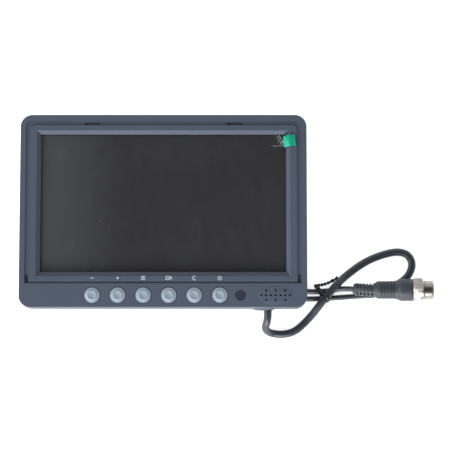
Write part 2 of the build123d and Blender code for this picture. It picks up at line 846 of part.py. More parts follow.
# ---- Flat cables and wires inside the case ----
ribbon_z = wire_z + 0.4
with BuildPart() as lcd_ribbon:
    with BuildSketch(Plane.YZ.offset(ribbon_x - ribbon_width / 2)):
        with BuildLine():
            Polyline(
                (glass_y0, glass_z + glass_t / 2),
                (glass_y0 - 1.15, glass_z + glass_t / 2),
                (glass_y0 - 1.15, ribbon_z),
                (ribbon_socket_y, ribbon_z),
                (ribbon_socket_y, socket_z),
            )
        trace(line_width=ribbon_t)
    extrude(amount=ribbon_width)

lcd_ribbon.part.label = "lcd_ribbon"
export_step(lcd_ribbon.part, "parts/lcd_ribbon.step")

with BuildPart() as key_cable:
    with BuildSketch(Plane.YZ.offset(key_cable_x - key_cable_width / 2)):
        with BuildLine():
            Polyline(
                (key_y + 3.0, key_board_z),
                (key_y + 3.0, wire_z),
                (low_socket_y, wire_z),
                (low_socket_y, socket_z),
            )
        trace(line_width=1.5 * ribbon_t)
    extrude(amount=key_cable_width)

key_cable.part.label = "key_cable"
export_step(key_cable.part, "parts/key_cable.step")


def wire(points, radius):
    """A round wire along straight runs with small bends, added to the open part."""
    with BuildLine() as run:
        FilletPolyline(*points, radius=1.0)
    first = Vector(*points[1]) - Vector(*points[0])
    with BuildSketch(Plane(origin=points[0], z_dir=first)) as section:
        Circle(radius)
    sweep(section.sketch, path=run.line)


with BuildPart() as lead_wires:
    for i in (-1.5, -0.5, 0.5, 1.5):
        shift = 1.8 * i
        wire(
            [
                (exit_x + shift, -inner_y + gland_flange_t, wire_z),
                (exit_x + shift, hump_y0 - 4.0, wire_z),
                (lead_socket_x + shift, low_socket_y, wire_z),
                (lead_socket_x + shift, low_socket_y, socket_z),
            ],
            0.45,
        )

lead_wires.part.label = "lead_wires"
export_step(lead_wires.part, "parts/lead_wires.step")

with BuildPart() as speaker_wires:
    for i in (0, 1):
        shift = 1.6 * i
        wire(
            [
                (speaker_x + 3.0 + shift, key_y + 4.7, speaker_top_z - speaker_h),
                (speaker_x + 3.0 + shift, key_y + 4.7, wire_z),
                (speaker_x + 3.0 + shift, speaker_socket_y + shift, wire_z),
                (speaker_socket_x + shift, speaker_socket_y + shift, wire_z),
                (speaker_socket_x + shift, speaker_socket_y + shift, socket_z),
            ],
            0.45,
        )

speaker_wires.part.label = "speaker_wires"
export_step(speaker_wires.part, "parts/speaker_wires.step")

# ---- Lead: gland, thick lead, moulded joint, thin lead ----
with BuildPart() as cable_gland:
    with BuildSketch(Plane.XZ.offset(inner_y - gland_flange_t)):
        with Locations((exit_x, exit_z)):
            Rectangle(gland_flange_width, gland_flange_h)
    extrude(amount=gland_flange_t)
    with BuildSketch(Plane.XZ.offset(inner_y)):
        with Locations((exit_x, exit_z)):
            Circle(gland_r)
    extrude(amount=wall + pad_proud)

cable_gland.part.label = "cable_gland"
export_step(cable_gland.part, "parts/cable_gland.step")


def lead(points, diameter):
    """A lead along its route: straight runs joined by arcs as large as the runs allow."""
    radii = bend_radii(points)
    print("bend radii", [round(r, 1) for r in radii])
    with BuildPart() as cord:
        with BuildLine() as route:
            FilletPolyline(*points, radius=radii)
        first = Vector(*points[1]) - Vector(*points[0])
        with BuildSketch(Plane(origin=points[0], z_dir=first)):
            Circle(diameter / 2)
        sweep(path=route.line)
    length = sum(edge.length for edge in route.line.edges())
    ratio = cord.part.volume / (pi * diameter**2 / 4 * length)
    print("length", round(length, 1), "volume over section times length", round(ratio, 4))
    return cord


pigtail_lead = lead(thick_route, thick_d)
pigtail_lead.part.label = "pigtail_lead"
export_step(pigtail_lead.part, "parts/pigtail_lead.step")

connector_lead = lead(thin_route, thin_d)
connector_lead.part.label = "connector_lead"
export_step(connector_lead.part, "parts/connector_lead.step")

joint_start = Vector(thick_route[-1][0], thick_route[-1][1], joint_r)
joint_end = Vector(thin_route[0][0], thin_route[0][1], joint_r)
with BuildPart() as lead_joint:
    with BuildSketch(Plane(origin=joint_start, z_dir=joint_end - joint_start)):
        Circle(joint_r)
    extrude(amount=(joint_end - joint_start).length)
    chamfer(lead_joint.edges().filter_by(GeomType.CIRCLE), 0.3)

lead_joint.part.label = "lead_joint"
export_step(lead_joint.part, "parts/lead_joint.step")

# ---- Connector: boot, shell, insert and contacts on one axis along +X ----
collar_x = body_x + body_length
hex_x = collar_x + collar_length
barrel_x = hex_x + hex_length


def across(x):
    """The plane across the connector's axis at x."""
    return Plane(origin=(x, connector_y, connector_z), x_dir=(0, 1, 0), z_dir=(1, 0, 0))


with BuildLine() as relief_line:
    TangentArc((body_x, connector_y, connector_z), thin_route[-1], tangent=(-1, 0, 0))
with BuildPart() as connector_boot:
    with BuildSketch(across(body_x)):
        Circle(body_r)
    extrude(amount=body_length)
    fillet(connector_boot.faces().sort_by(Axis.X)[0].edges(), 2.0)
    with BuildSketch(across(collar_x)):
        Circle(collar_r)
    extrude(amount=collar_length)
    chamfer(connector_boot.faces().sort_by(Axis.X)[-1].edges(), 0.5)
    with BuildSketch(across(body_x)) as relief_section:
        Circle(relief_core_r)
    sweep(relief_section.sketch, path=relief_line.line)
    for i in range(relief_ribs):
        rib_at = 1 - i / relief_ribs
        rib_plane = Plane(origin=relief_line.line @ rib_at, z_dir=-(relief_line.line % rib_at))
        with BuildSketch(rib_plane) as rib_section:
            Circle(relief_r)
        extrude(rib_section.sketch, amount=rib_width)

connector_boot.part.label = "connector_boot"
export_step(connector_boot.part, "parts/connector_boot.step")

with BuildPart() as connector_shell:
    with BuildSketch(across(hex_x)):
        RegularPolygon(hex_flats / 2, 6, major_radius=False, rotation=30)
    extrude(amount=hex_length)
    with BuildSketch(across(barrel_x)):
        Circle(barrel_r)
    extrude(amount=barrel_length)
    chamfer(connector_shell.faces().sort_by(Axis.X)[-1].edges(), 0.7)
    with BuildSketch(across(hex_x)):
        Circle(barrel_bore_r)
    extrude(amount=hex_length + barrel_length, mode=Mode.SUBTRACT)

connector_shell.part.label = "connector_shell"
export_step(connector_shell.part, "parts/connector_shell.step")

contact_depth = 8.0
contact_recess = 0.3
insert_length_x = hex_length + barrel_length - insert_face_in
with BuildPart() as connector_insert:
    with BuildSketch(across(hex_x)):
        Circle(barrel_bore_r - screw_gap)
    extrude(amount=insert_length_x)
    with BuildSketch(across(hex_x + insert_length_x)):
        with PolarLocations(contact_circle_r, contact_count, start_angle=45):
            Circle(contact_r + screw_gap)
    extrude(amount=-contact_depth, mode=Mode.SUBTRACT)

connector_insert.part.label = "connector_insert"
export_step(connector_insert.part, "parts/connector_insert.step")

with BuildPart() as connector_contacts:
    with BuildSketch(across(hex_x + insert_length_x - contact_depth)):
        with PolarLocations(contact_circle_r, contact_count, start_angle=45):
            Circle(contact_r)
            Circle(contact_bore_r, mode=Mode.SUBTRACT)
    extrude(amount=contact_depth - contact_recess)

connector_contacts.part.label = "connector_contacts"
export_step(connector_contacts.part, "parts/connector_contacts.step")

# ---- Twist tie round the bundle, with its twisted tails ----
tie_plane = Plane(
    origin=(tie_centre[0], tie_centre[1], tie_foot_z),
    x_dir=Vector(0, 1, 0).rotate(Axis.Z, tie_heading),
    z_dir=Vector(1, 0, 0).rotate(Axis.Z, tie_heading),
)
tail_start = Vector(*tie_centre) + tie_plane.x_dir * (tie_reach - tie_t / 2)
with BuildPart() as cable_tie:
    with BuildSketch(tie_plane):
        with Locations((0, tie_height / 2)):
            RectangleRounded(2 * tie_reach, tie_height, 2.5)
            offset(amount=-tie_t, mode=Mode.SUBTRACT)
    extrude(amount=tie_width / 2, both=True)
    tail_from = Vector(tail_start.X, tail_start.Y, tail_z)
    tail_to = Vector(*tail_end, tail_z)
    with BuildSketch(Plane(origin=tail_from, z_dir=tail_to - tail_from)):
        Rectangle(tail_side, tail_side)
    extrude(amount=(tail_to - tail_from).length)

cable_tie.part.label = "cable_tie"
export_step(cable_tie.part, "parts/cable_tie.step")
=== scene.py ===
from math import cos, pi, radians, sin

import bmesh
import bpy
from bpy.props import FloatProperty, FloatVectorProperty, PointerProperty
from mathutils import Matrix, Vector, noise


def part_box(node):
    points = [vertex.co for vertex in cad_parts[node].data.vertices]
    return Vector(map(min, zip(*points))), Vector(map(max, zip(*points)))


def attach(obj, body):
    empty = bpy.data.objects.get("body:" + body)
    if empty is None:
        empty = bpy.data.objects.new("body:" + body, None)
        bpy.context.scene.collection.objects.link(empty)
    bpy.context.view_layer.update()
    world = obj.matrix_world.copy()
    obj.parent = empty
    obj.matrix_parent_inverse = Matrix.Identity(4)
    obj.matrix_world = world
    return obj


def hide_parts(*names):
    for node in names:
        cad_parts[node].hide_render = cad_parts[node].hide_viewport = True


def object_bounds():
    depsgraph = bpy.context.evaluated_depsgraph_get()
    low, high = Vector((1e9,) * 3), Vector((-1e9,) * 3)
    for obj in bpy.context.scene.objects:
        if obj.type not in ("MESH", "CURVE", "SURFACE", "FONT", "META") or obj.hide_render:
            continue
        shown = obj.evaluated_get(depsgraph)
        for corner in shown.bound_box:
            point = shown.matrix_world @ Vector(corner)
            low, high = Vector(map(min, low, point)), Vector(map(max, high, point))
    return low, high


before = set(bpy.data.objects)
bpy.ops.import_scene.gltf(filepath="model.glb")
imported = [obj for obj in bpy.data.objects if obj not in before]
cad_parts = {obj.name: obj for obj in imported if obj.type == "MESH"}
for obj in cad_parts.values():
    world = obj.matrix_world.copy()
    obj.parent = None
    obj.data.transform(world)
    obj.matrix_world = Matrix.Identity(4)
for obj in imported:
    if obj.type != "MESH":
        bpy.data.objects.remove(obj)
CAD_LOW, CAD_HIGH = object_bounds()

bl_info = {
    "name": "Rear-view monitor with captive lead",
    "version": (1, 0, 0),
    "blender": (4, 5, 0),
    "location": "3D View > Sidebar > Monitor",
    "description": "Finishes, leads, connector and stage of a vehicle rear-view monitor",
    "category": "Object",
}

MM = 0.001


def mm(*numbers):
    """A point or direction given in millimetres, as a vector in metres."""
    return Vector(numbers) * MM


def paint(red, green, blue):
    """A colour given as 0 to 255 screen values, as the linear values that shaders use."""
    shares = [value / 255 for value in (red, green, blue)]
    return tuple(v / 12.92 if v <= 0.04045 else ((v + 0.055) / 1.055) ** 2.4 for v in shares)


def shade(colour, factor):
    """The same colour, lighter or darker."""
    return tuple(channel * factor for channel in colour)


# ---- Shader maths ----
class Value:
    """A shader socket. Arithmetic on it adds the Math nodes that work it out."""

    def __init__(self, recipe, socket):
        self.recipe = recipe
        self.socket = socket

    def math(self, operation, first, second):
        return self.recipe.node("ShaderNodeMath", {"operation": operation}, {0: first, 1: second})

    def __add__(self, other):
        return self.math("ADD", self, other)

    __radd__ = __add__

    def __mul__(self, other):
        return self.math("MULTIPLY", self, other)

    __rmul__ = __mul__

    def __sub__(self, other):
        return self.math("SUBTRACT", self, other)

    def __rsub__(self, other):
        return self.math("SUBTRACT", other, self)


class Recipe:
    """A node tree being filled in, for one material or for the world."""

    def __init__(self, owner):
        owner.use_nodes = True
        self.owner = owner
        self.tree = owner.node_tree
        self.tree.nodes.clear()

    def node(self, kind, settings=None, sockets=None, output=0):
        """Adds a node: its settings first, then values or links for its sockets."""
        made = self.tree.nodes.new(kind)
        for name, value in (settings or {}).items():
            if name == "stops":
                for _ in value[2:]:
                    made.color_ramp.elements.new(1.0)
                for stop, (place, level) in zip(made.color_ramp.elements, value):
                    stop.position = place
                    stop.color = (level, level, level, 1)
            else:
                setattr(made, name, value)
        for name, value in (sockets or {}).items():
            if isinstance(value, Value):
                self.tree.links.new(value.socket, made.inputs[name])
            else:
                made.inputs[name].default_value = value
        return Value(self, made.outputs[output])

    def place(self):
        """Where a point of the surface is, in metres."""
        return self.node("ShaderNodeTexCoord", output="Object")

    def part_of(self, vector, letter):
        """One coordinate of a vector, by its letter."""
        return self.node("ShaderNodeSeparateXYZ", None, {0: vector}, output=letter)

    def cloud(self, size, detail=2.0, stretch=(1, 1, 1), rough=0.5):
        """Soft random variation from 0 to 1, with blotches about that many metres across."""
        spots = self.node("ShaderNodeMapping", None, {"Vector": self.place(), "Scale": stretch})
        sockets = {"Vector": spots, "Scale": 1 / size, "Detail": detail, "Roughness": rough}
        return self.node("ShaderNodeTexNoise", None, sockets)

    def cells(self, size, settings=None, randomness=1.0):
        """Distance to the nearest of many scattered points, which are that far apart."""
        sockets = {"Vector": self.place(), "Scale": 1 / size, "Randomness": randomness}
        return self.node("ShaderNodeTexVoronoi", settings, sockets)

    def level(self, value, low, high, to_low=0.0, to_high=1.0):
        """value between low and high, spread from to_low to to_high and held there."""
        sockets = {
            "Value": value,
            "From Min": low,
            "From Max": high,
            "To Min": to_low,
            "To Max": to_high,
        }
        return self.node("ShaderNodeMapRange", {"interpolation_type": "SMOOTHSTEP"}, sockets)

    def mixed(self, factor, first, second):
        """first where factor is 0 and second where it is 1, as a colour."""
        sockets = {0: factor, 6: first, 7: second}
        for key in (6, 7):
            if not isinstance(sockets[key], Value):
                sockets[key] = (*sockets[key], 1)
        return self.node("ShaderNodeMix", {"data_type": "RGBA"}, sockets, output=2)

    def relief(self, height, depth, strength=1.0):
        """A surface normal that shows height as bumps of that depth in metres."""
        sockets = {"Height": height, "Distance": depth, "Strength": strength}
        return self.node("ShaderNodeBump", None, sockets)

    def finish(self, **sockets):
        """The surface itself. Underscores in the names stand for spaces."""
        named = {name.replace("_", " "): value for name, value in sockets.items()}
        for name, value in named.items():
            if isinstance(value, tuple) and len(value) == 3:
                named[name] = (*value, 1)
        return self.out(self.node("ShaderNodeBsdfPrincipled", None, named))

    def out(self, shader, kind="ShaderNodeOutputMaterial"):
        """Makes shader the tree's result."""
        result = self.tree.nodes.new(kind)
        self.tree.links.new(shader.socket, result.inputs["Surface"])
        return self.owner


def recipe(name):
    return Recipe(bpy.data.materials.new(name))


# ---- Settings that a user would change ----
def tint(name, description, colour):
    return FloatVectorProperty(
        name=name, description=description, subtype="COLOR", min=0, max=1, default=colour
    )


def size(name, description, value):
    return FloatProperty(name=name, description=description, unit="LENGTH", min=0, default=value)


class CaseSettings(bpy.types.PropertyGroup):
    plastic: tint("Case plastic", "Colour of the moulded case", paint(66, 75, 90))
    key: tint("Key plastic", "Colour of the six keys", paint(136, 149, 162))
    mark: tint("Key marks", "Colour of the printed marks over the keys", paint(186, 196, 206))
    grain: size("Grain", "Size of the moulded spark grain", 0.00035)


class ScreenSettings(bpy.types.PropertyGroup):
    glass: tint("Screen glass", "Colour of the switched-off panel", paint(36, 35, 36))
    tab: tint("Pull tab", "Colour of the film's pull tab", paint(0, 148, 116))
    tab_light: tint("Pull tab band", "Colour of the tab's lighter band", paint(44, 172, 138))


class LeadSettings(bpy.types.PropertyGroup):
    vinyl: tint("Lead jacket", "Colour of the leads' jackets", paint(37, 44, 54))
    thick: size("Thick lead", "Diameter of the lead that leaves the case", 0.005)
    thin: size("Thin lead", "Diameter of the lead to the connector", 0.0034)
    rubber: tint("Boot", "Colour of the connector's moulded boot", paint(48, 55, 64))
    metal: tint("Shell", "Colour of the connector's plated shell", paint(160, 157, 151))


def power(name, description, value):
    return FloatProperty(name=name, description=description, min=0, default=value)


class StageSettings(bpy.types.PropertyGroup):
    distance: size("Camera distance", "From the lens to the middle of the view", 1.2)
    key_power: power("Key light", "Soft light, low at the front", 40)
    side_power: power("Side light", "Soft light at the left", 9)
    sky: power("Surroundings", "Strength of the room's light", 1)


# ---- Finishes ----
def case_plastic(colour, grain):
    r = recipe("case_plastic")
    drift = r.cloud(0.06, 3)
    speck = r.cloud(grain * 0.7, 1)
    shades = r.mixed(drift, shade(colour, 0.9), shade(colour, 1.1))
    base = r.mixed(r.level(speck, 0.35, 0.75) * 0.25, shades, shade(colour, 1.35))
    rubbed = r.level(r.cloud(0.012, 4), 0.45, 0.75)
    pits = r.cells(grain) * 0.6 + r.cloud(grain * 0.5, 2) * 0.7
    return r.finish(
        Base_Color=base,
        Roughness=0.47 + drift * 0.08 - rubbed * 0.05,
        Specular_IOR_Level=0.45,
        Normal=r.relief(pits, grain * 0.09, 0.6),
    )


def key_plastic(colour):
    r = recipe("key_plastic")
    drift = r.cloud(0.02, 3)
    fine = r.cloud(0.0002, 2)
    return r.finish(
        Base_Color=r.mixed(drift, shade(colour, 0.9), shade(colour, 1.08)),
        Roughness=0.3 + fine * 0.08 + drift * 0.06,
        Specular_IOR_Level=0.6,
        Coat_Weight=0.15,
        Normal=r.relief(fine, 0.00001, 0.5),
    )


def printed_mark(colour):
    r = recipe("printed_mark")
    worn = r.cloud(0.0004, 2)
    return r.finish(
        Base_Color=r.mixed(worn, shade(colour, 0.85), colour),
        Roughness=0.55 + worn * 0.2,
        Normal=r.relief(worn, 0.00001, 0.4),
    )


def switched_off_glass(colour):
    r = recipe("screen_glass")
    smudge = r.level(r.cloud(0.05, 4, rough=0.6), 0.4, 0.7)
    tone = r.mixed(r.cloud(0.09, 2), shade(colour, 0.85), shade(colour, 1.1))
    tone = r.mixed(smudge * 0.2, tone, paint(44, 45, 50))
    mote = r.level(r.cells(0.011), 0.018, 0.028, 1, 0)
    return r.finish(
        Base_Color=r.mixed(mote * 0.6, tone, paint(120, 122, 126)),
        Roughness=0.09 + smudge * 0.1 + mote * 0.4,
        Specular_IOR_Level=0.5,
        Coat_Weight=0.3,
        Coat_Roughness=0.06,
        Normal=r.relief(r.cloud(0.03, 2), 0.00004, 0.3),
    )


def cling_film():
    """Clear film, dusty, whiter towards its left with haze and a painted reflection, and with
    painted highlights along its creases beside the pull tab.
    """
    r = recipe("cling_film")
    ripple = r.cloud(0.004, 3, stretch=(1, 0.35, 1))
    mote = r.level(r.cells(0.017), 0.012, 0.02, 1, 0)
    across = r.part_of(r.place(), "X")
    upward = r.part_of(r.place(), "Y")
    # Painted reflection: the film is made whiter towards its left, partly haze and partly a painted
    # sheen of a soft light.
    haze_and_sheen_left = r.level(across, -0.075, -0.02, 1, 0)
    worn = r.level(r.cloud(0.0013, 2), 0.4, 0.6)
    # Painted highlights: white streaks and a white line along the creases beside the pull tab stand
    # in for light caught by the folded film.
    slant = across * 0.88 + upward * 0.47
    wave = r.node("ShaderNodeMath", {"operation": "SINE"}, {0: slant * 4488 - 2.47})
    painted_crease_highlights = r.level(wave, 0.3, 0.9) * r.level(upward, 0.0416, 0.043)
    painted_crease_highlights = painted_crease_highlights * r.level(slant, 0.0846, 0.0868) * r.level(slant, 0.088, 0.0884, 1, 0)
    painted_fold_highlight = r.level(upward, 0.0417, 0.042) * r.level(upward, 0.0422, 0.0425, 1, 0)
    painted_fold_highlight = painted_fold_highlight * r.level(across, 0.066, 0.072) * r.level(across, 0.076, 0.0775, 1, 0)
    # crease sums the painted crease highlights, broken up by a worn-looking cloud.
    crease = (painted_crease_highlights * 0.9 + painted_fold_highlight * 0.25) * (0.3 + worn * 0.7)
    # Alpha lets the white film colour show: the left haze with its painted reflection and the
    # painted crease highlights; ripple and mote are the film's own haze and dust.
    return r.finish(
        Base_Color=r.mixed(mote, paint(200, 206, 212), paint(230, 232, 236)),
        Roughness=0.07 + ripple * 0.12 + crease * 0.2,
        Alpha=0.006 + ripple * 0.01 + haze_and_sheen_left * 0.022 + mote * 0.4 + crease,
        Specular_IOR_Level=0.5,
        Normal=r.relief(ripple, 0.0001, 0.4),
    )


def tab_polyester(colour, light):
    r = recipe("tab_green")
    slant = r.part_of(r.place(), "X") + r.part_of(r.place(), "Y") * 0.49
    band = r.level(slant, 0.1003, 0.1008, 1, 0)
    crease = r.cloud(0.0022, 3, stretch=(0.5, 1.6, 1))
    body = r.mixed(crease, shade(colour, 0.86), shade(colour, 1.1))
    return r.finish(
        Base_Color=r.mixed(band, body, light),
        Roughness=0.42 + crease * 0.15,
        Specular_IOR_Level=0.25,
        Normal=r.relief(crease, 0.0002, 0.25),
    )


def tinted_window():
    r = recipe("tinted_window")
    drift = r.cloud(0.004, 2)
    return r.finish(
        Base_Color=r.mixed(drift, paint(42, 48, 60), paint(56, 62, 74)),
        Roughness=0.12 + drift * 0.08,
        Coat_Weight=0.5,
        Normal=r.relief(drift, 0.00005, 0.3),
    )


def lead_jacket(colour, name="lead_jacket"):
    r = recipe(name)
    drift = r.cloud(0.03, 3)
    scuff = r.level(r.cloud(0.0035, 4, stretch=(0.6, 1.4, 1)), 0.5, 0.78)
    wave = r.cloud(0.006, 2)
    tone = r.mixed(drift, shade(colour, 0.85), shade(colour, 1.12))
    return r.finish(
        Base_Color=r.mixed(scuff * 0.2, tone, shade(colour, 2.0)),
        Roughness=0.33 + drift * 0.1 + scuff * 0.12,
        Specular_IOR_Level=0.55,
        Coat_Weight=0.15,
        Normal=r.relief(wave, 0.00025, 0.35),
    )


def moulded_rubber(colour):
    r = recipe("moulded_rubber")
    drift = r.cloud(0.01, 3)
    grain = r.cloud(0.00025, 2)
    bloom = r.level(r.cloud(0.005, 4), 0.5, 0.8)
    tone = r.mixed(drift, shade(colour, 0.85), shade(colour, 1.1))
    return r.finish(
        Base_Color=r.mixed(bloom * 0.25, tone, shade(colour, 1.6)),
        Roughness=0.45 + drift * 0.1,
        Normal=r.relief(grain, 0.00003, 0.5),
    )


def boot_rubber(colour):
    """The rubber that the connector's boot and the moulded joint share."""
    return bpy.data.materials.get("moulded_rubber") or moulded_rubber(colour)


def plated_metal(colour, name="nickel_plate", rough=0.2):
    r = recipe(name)
    turned = r.cloud(0.0003, 2, stretch=(6, 0.4, 0.4))
    stain = r.level(r.cloud(0.004, 4), 0.45, 0.75)
    return r.finish(
        Base_Color=r.mixed(stain * 0.5, colour, shade(colour, 0.78)),
        Metallic=1.0,
        Roughness=rough + turned * 0.1 + stain * 0.08,
        Normal=r.relief(turned, 0.00001, 0.5),
    )


def circuit_board():
    r = recipe("board_green")
    weave = r.cells(0.0006, {"distance": "CHEBYCHEV"}, 0.1)
    runs = r.level(r.cells(0.003, {"distance": "MANHATTAN"}), 0.25, 0.3)
    tone = r.mixed(runs, paint(28, 84, 58), paint(16, 62, 42))
    return r.finish(
        Base_Color=tone,
        Roughness=0.35 + weave * 0.2,
        Coat_Weight=0.4,
        Normal=r.relief(runs, 0.00003, 0.5),
    )


def plain_moulding(name, colour, rough):
    """A small moulded or cut piece inside the case."""
    r = recipe(name)
    drift = r.cloud(0.004, 3)
    grain = r.cloud(0.0003, 2)
    return r.finish(
        Base_Color=r.mixed(drift, shade(colour, 0.82), shade(colour, 1.12)),
        Roughness=rough + grain * 0.15,
        Normal=r.relief(grain, 0.00004, 0.5),
    )


def fine_cloth():
    r = recipe("speaker_cloth")
    threads = r.cells(0.0004, {"distance": "CHEBYCHEV"}, 0.15)
    return r.finish(
        Base_Color=r.mixed(threads, paint(14, 16, 20), paint(30, 33, 38)),
        Roughness=0.85 + threads * 0.1,
        Normal=r.relief(threads, 0.00015, 0.8),
    )


# ---- Shapes ----
def skin(mesh, rings, joined=False):
    """Faces between neighbouring rings of points. The ends are capped, or joined to each other."""
    rows = [[mesh.verts.new(point) for point in ring] for ring in rings]
    pairs = list(zip(rows, rows[1:]))
    if joined:
        pairs.append((rows[-1], rows[0]))
    for near, far in pairs:
        for i, corner in enumerate(near):
            j = (i + 1) % len(near)
            mesh.faces.new((corner, near[j], far[j], far[i]))
    if not joined:
        mesh.faces.new(rows[0])
        mesh.faces.new(rows[-1])


def piece(name, mesh, finish, body="case", stands_for=(), smooth=35):
    """Turns a mesh under construction into a finished piece that rides on a body."""
    bmesh.ops.recalc_face_normals(mesh, faces=mesh.faces)
    data = bpy.data.meshes.new(name)
    mesh.to_mesh(data)
    mesh.free()
    data.shade_smooth()
    data.set_sharp_from_angle(angle=radians(smooth))
    data.materials.append(finish)
    made = bpy.data.objects.new(name, data)
    bpy.context.scene.collection.objects.link(made)
    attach(made, body)
    if stands_for:
        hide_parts(*stands_for)
    return made


def middle(node):
    low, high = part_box(node)
    return (low + high) / 2


def paint_node(node, finish):
    """Gives a CAD node its finish."""
    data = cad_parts[node].data
    data.materials.clear()
    data.materials.append(finish)


def along(start, toward, end, share):
    """A point of the curve that leaves start toward a corner and arrives at end from it."""
    back = 1 - share
    return start * back * back + toward * 2 * back * share + end * share * share


def hoop(centre, forward, up, radii):
    """A ring of points across forward. radii are equally spaced, from up towards its right."""
    side = forward.cross(up).normalized()
    top = side.cross(forward).normalized()
    turn = 2 * pi / len(radii)
    return [
        centre + (top * cos(turn * i) + side * sin(turn * i)) * radius
        for i, radius in enumerate(radii)
    ]


UP = Vector((0, 0, 1))
ROUND_STEPS = 72


def circle(radius):
    """Radii for a round ring of the connector."""
    return [radius] * ROUND_STEPS


# ---- Routes of the two leads, as control points, in metres ----
THICK_ROUTE = [
    (0.0663, -0.0626, 0.0155),
    (0.0663, -0.0684, 0.0155),
    (0.0642, -0.0739, 0.0086),
    (0.0684, -0.0763, 0.0025),
    (0.0762, -0.0772, 0.0025),
    (0.0844, -0.0751, 0.0025),
    (0.0934, -0.0664, 0.0025),
    (0.1019, -0.0556, 0.0077),
    (0.1094, -0.0466, 0.0077),
    (0.1163, -0.0395, 0.0025),
    (0.1302, -0.0293, 0.0025),
    (0.1460, -0.0238, 0.0025),
    (0.1544, -0.0241, 0.0025),
    (0.1588, -0.0281, 0.0025),
    (0.1596, -0.0341, 0.0025),
    (0.1554, -0.0418, 0.0025),
    (0.1489, -0.04525, 0.0025),
]
THIN_ROUTE = [
    (0.141412, -0.049228, 0.0017),
    (0.1361, -0.05205, 0.0017),
    (0.1260, -0.05215, 0.0017),
    (0.1080, -0.05365, 0.0023),
    (0.0930, -0.05425, 0.0017),
    (0.0801, -0.05405, 0.0017),
    (0.0617, -0.06075, 0.0017),
    (0.0509, -0.05635, 0.0017),
    (0.0457, -0.04585, 0.0017),
    (0.0490, -0.03465, 0.0017),
    (0.0589, -0.02845, 0.0017),
    (0.0704, -0.03045, 0.0017),
    (0.0795, -0.04305, 0.0017),
    (0.0885, -0.04905, 0.0017),
    (0.0980, -0.04965, 0.0023),
    (0.1080, -0.04855, 0.0023),
    (0.11509, -0.04753, 0.00497),
    (0.1220, -0.04845, 0.0089),
]


def lead_curve(name, route, diameter, finish, node):
    """A lead as one smooth spline round its route's points."""
    data = bpy.data.curves.new(name, "CURVE")
    data.dimensions = "3D"
    line = data.splines.new("NURBS")
    line.points.add(len(route) - 1)
    for point, place in zip(line.points, route):
        point.co = (*place, 1)
    line.order_u = 3
    line.use_endpoint_u = True
    line.resolution_u = 16
    data.bevel_depth = diameter / 2
    data.bevel_resolution = 6
    data.use_fill_caps = True
    data.materials.append(finish)
    made = bpy.data.objects.new(name, data)
    bpy.context.scene.collection.objects.link(made)
    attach(made, "case")
    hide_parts(node)
    return made


# ---- The stage's measures ----
CAMERA_TILT = radians(83)
VIEW_MIDDLE = mm(39.1, -9.25, 26)
VIEW_WIDTH = 0.2845
SENSOR_WIDTH = 36
KEY_LIGHT = {"place": (-0.4, -1.5, 0.75), "width": 1.7, "height": 0.7}
SIDE_LIGHT = {"place": (-1.5, -0.3, 0.9), "width": 1.2, "height": 0.8}
FLOOR_REACH = 4
FLOOR_GLOW = 0.75
FLOOR_GAP = 0.0001

# ---- The connector's measures, in millimetres along X and out from its axis ----
BOOT_END = 158.6
RELIEF_START = mm(122.0, -48.45, 8.9)
RELIEF_END_X = 134.9
RELIEF_LENGTH = 13.4
RELIEF_TEETH = 5
TOOTH_PITCH = 2.1
CORE_R = 2.75
BOOT_R = 5.7
GROOVE_R = 5.36
MOULD_SEAM = 0.06
COLLAR_R = 7.05
HEXAGON_FLAT = 7.25
BARREL_R = 6.1
SOCKET_R = 4.9

# ---- The twist tie: where it stands, and its two twisted wires in millimetres ----
TIE_PLACE = mm(101.8, -51.55, 0)
WIRE_R = 0.6
WIRE_FROM_MIDDLE = 0.55
WIRE_TURNS = 4

# ---- The printed signs, in metres, and their strokes, in millimetres ----
SIGN_ABOVE_KEY = 0.0109
SIGN_OFF_FACE = 0.0003
STROKE_HALF = 0.24
STROKE_PROUD = 0.03

# ---- The film's lifted corner and its pull tab, in millimetres, and its turn in radians ----
LIFT_PLACE = (75.4, 44.9)
LIFT_SPREAD = 4.4
FALL_OFF = 2.718
TAB_MIDDLE = Vector((80.1, 44.8))
TAB_TURN = 0.12

# ---- The case screws' places in millimetres, the same at both sides ----
SCREW_PLACES = [(side * x, y) for side in (-1, 1) for x, y in ((85.7, 50), (85.7, -30), (86, -52))]

